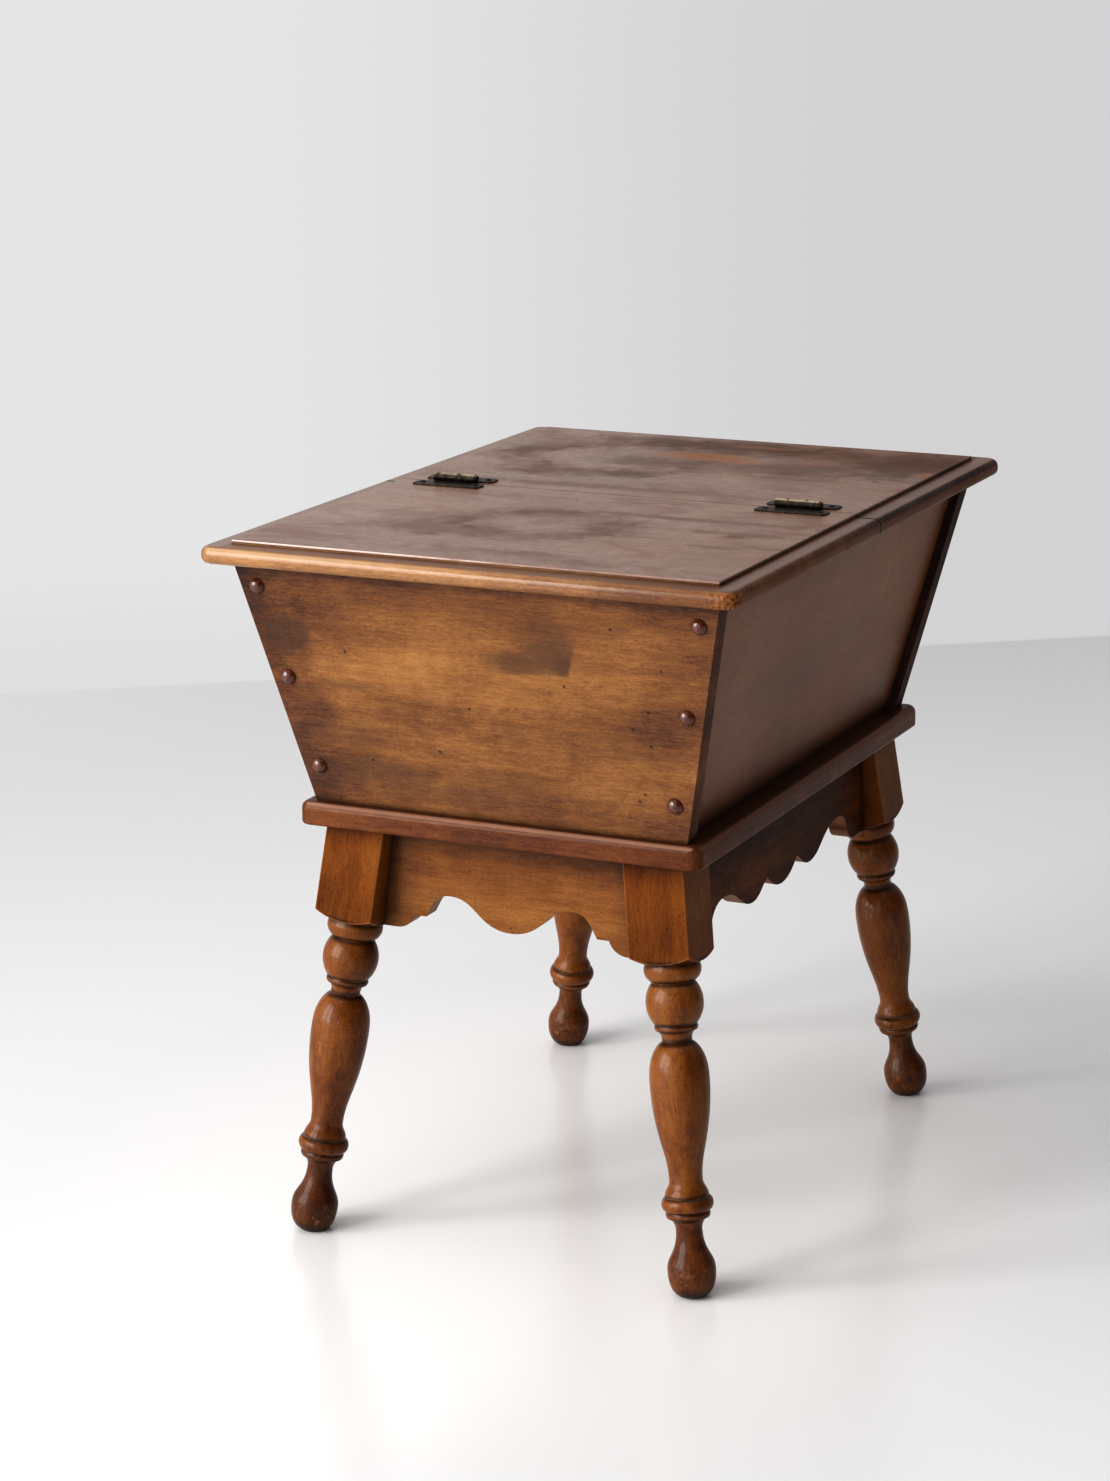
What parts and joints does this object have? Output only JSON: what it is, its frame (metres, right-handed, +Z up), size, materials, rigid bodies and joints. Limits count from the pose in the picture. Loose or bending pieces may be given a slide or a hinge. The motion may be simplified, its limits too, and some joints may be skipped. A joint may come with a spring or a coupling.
{
  "type": "sugar chest",
  "caption": "Lidded chest table: canted box with pegged end panels and a half-hinged top, on splayed turned legs with scalloped aprons.",
  "frame": {"origin": "on the floor, below the middle of the chest", "axes": "+X across the chest to its right, +Y along it to the rear, with the hinged half of the top at -Y, +Z up"},
  "size_m": [0.4242, 0.5828, 0.5535],
  "materials": {
    "top_wood": "satin lacquered stained maple, worn",
    "case_wood": "satin lacquered stained maple",
    "turned_wood": "glossy lacquered stained maple, dark in the grooves",
    "peg_wood": "dark stained, lacquered",
    "inner_wood": "bare pine",
    "hinge_brass": "antiqued, rubbed bright on the barrel",
    "screw_steel": "plain"
  },
  "bodies": {
    "chest": {"top_rear": "top_wood", "end_panel_front": "case_wood", "end_panel_rear": "case_wood", "side_panel_left": "case_wood", "side_panel_right": "case_wood", "base_board": "case_wood", "apron_front": "case_wood", "apron_rear": "case_wood", "apron_left": "case_wood", "apron_right": "case_wood", "leg_front_left": "turned_wood", "leg_front_right": "turned_wood", "leg_rear_left": "turned_wood", "leg_rear_right": "turned_wood", "pegs_front": "peg_wood", "pegs_rear": "peg_wood", "end_screws_front": "screw_steel", "end_screws_rear": "screw_steel", "box_screws": "screw_steel", "leg_screws": "screw_steel", "glue_blocks": "inner_wood", "top_glue_blocks": "inner_wood", "left_hinge_fixed_leaf": "hinge_brass", "right_hinge_fixed_leaf": "hinge_brass", "left_hinge_pin": "hinge_brass", "right_hinge_pin": "hinge_brass", "fixed_hinge_screws": "hinge_brass"},
    "lid": {"lid": "top_wood", "lid_cleat_left": "inner_wood", "lid_cleat_right": "inner_wood", "cleat_screws": "screw_steel", "left_hinge_lid_leaf": "hinge_brass", "right_hinge_lid_leaf": "hinge_brass", "lid_hinge_screws": "hinge_brass"}
  },
  "joints": [
    {"name": "lid_hinge", "type": "hinge", "parent": "chest", "child": "lid", "pos_m": [0, 0, 0.5499], "axis": [-1, 0, 0], "range_deg": [0, 180]}
  ]
}
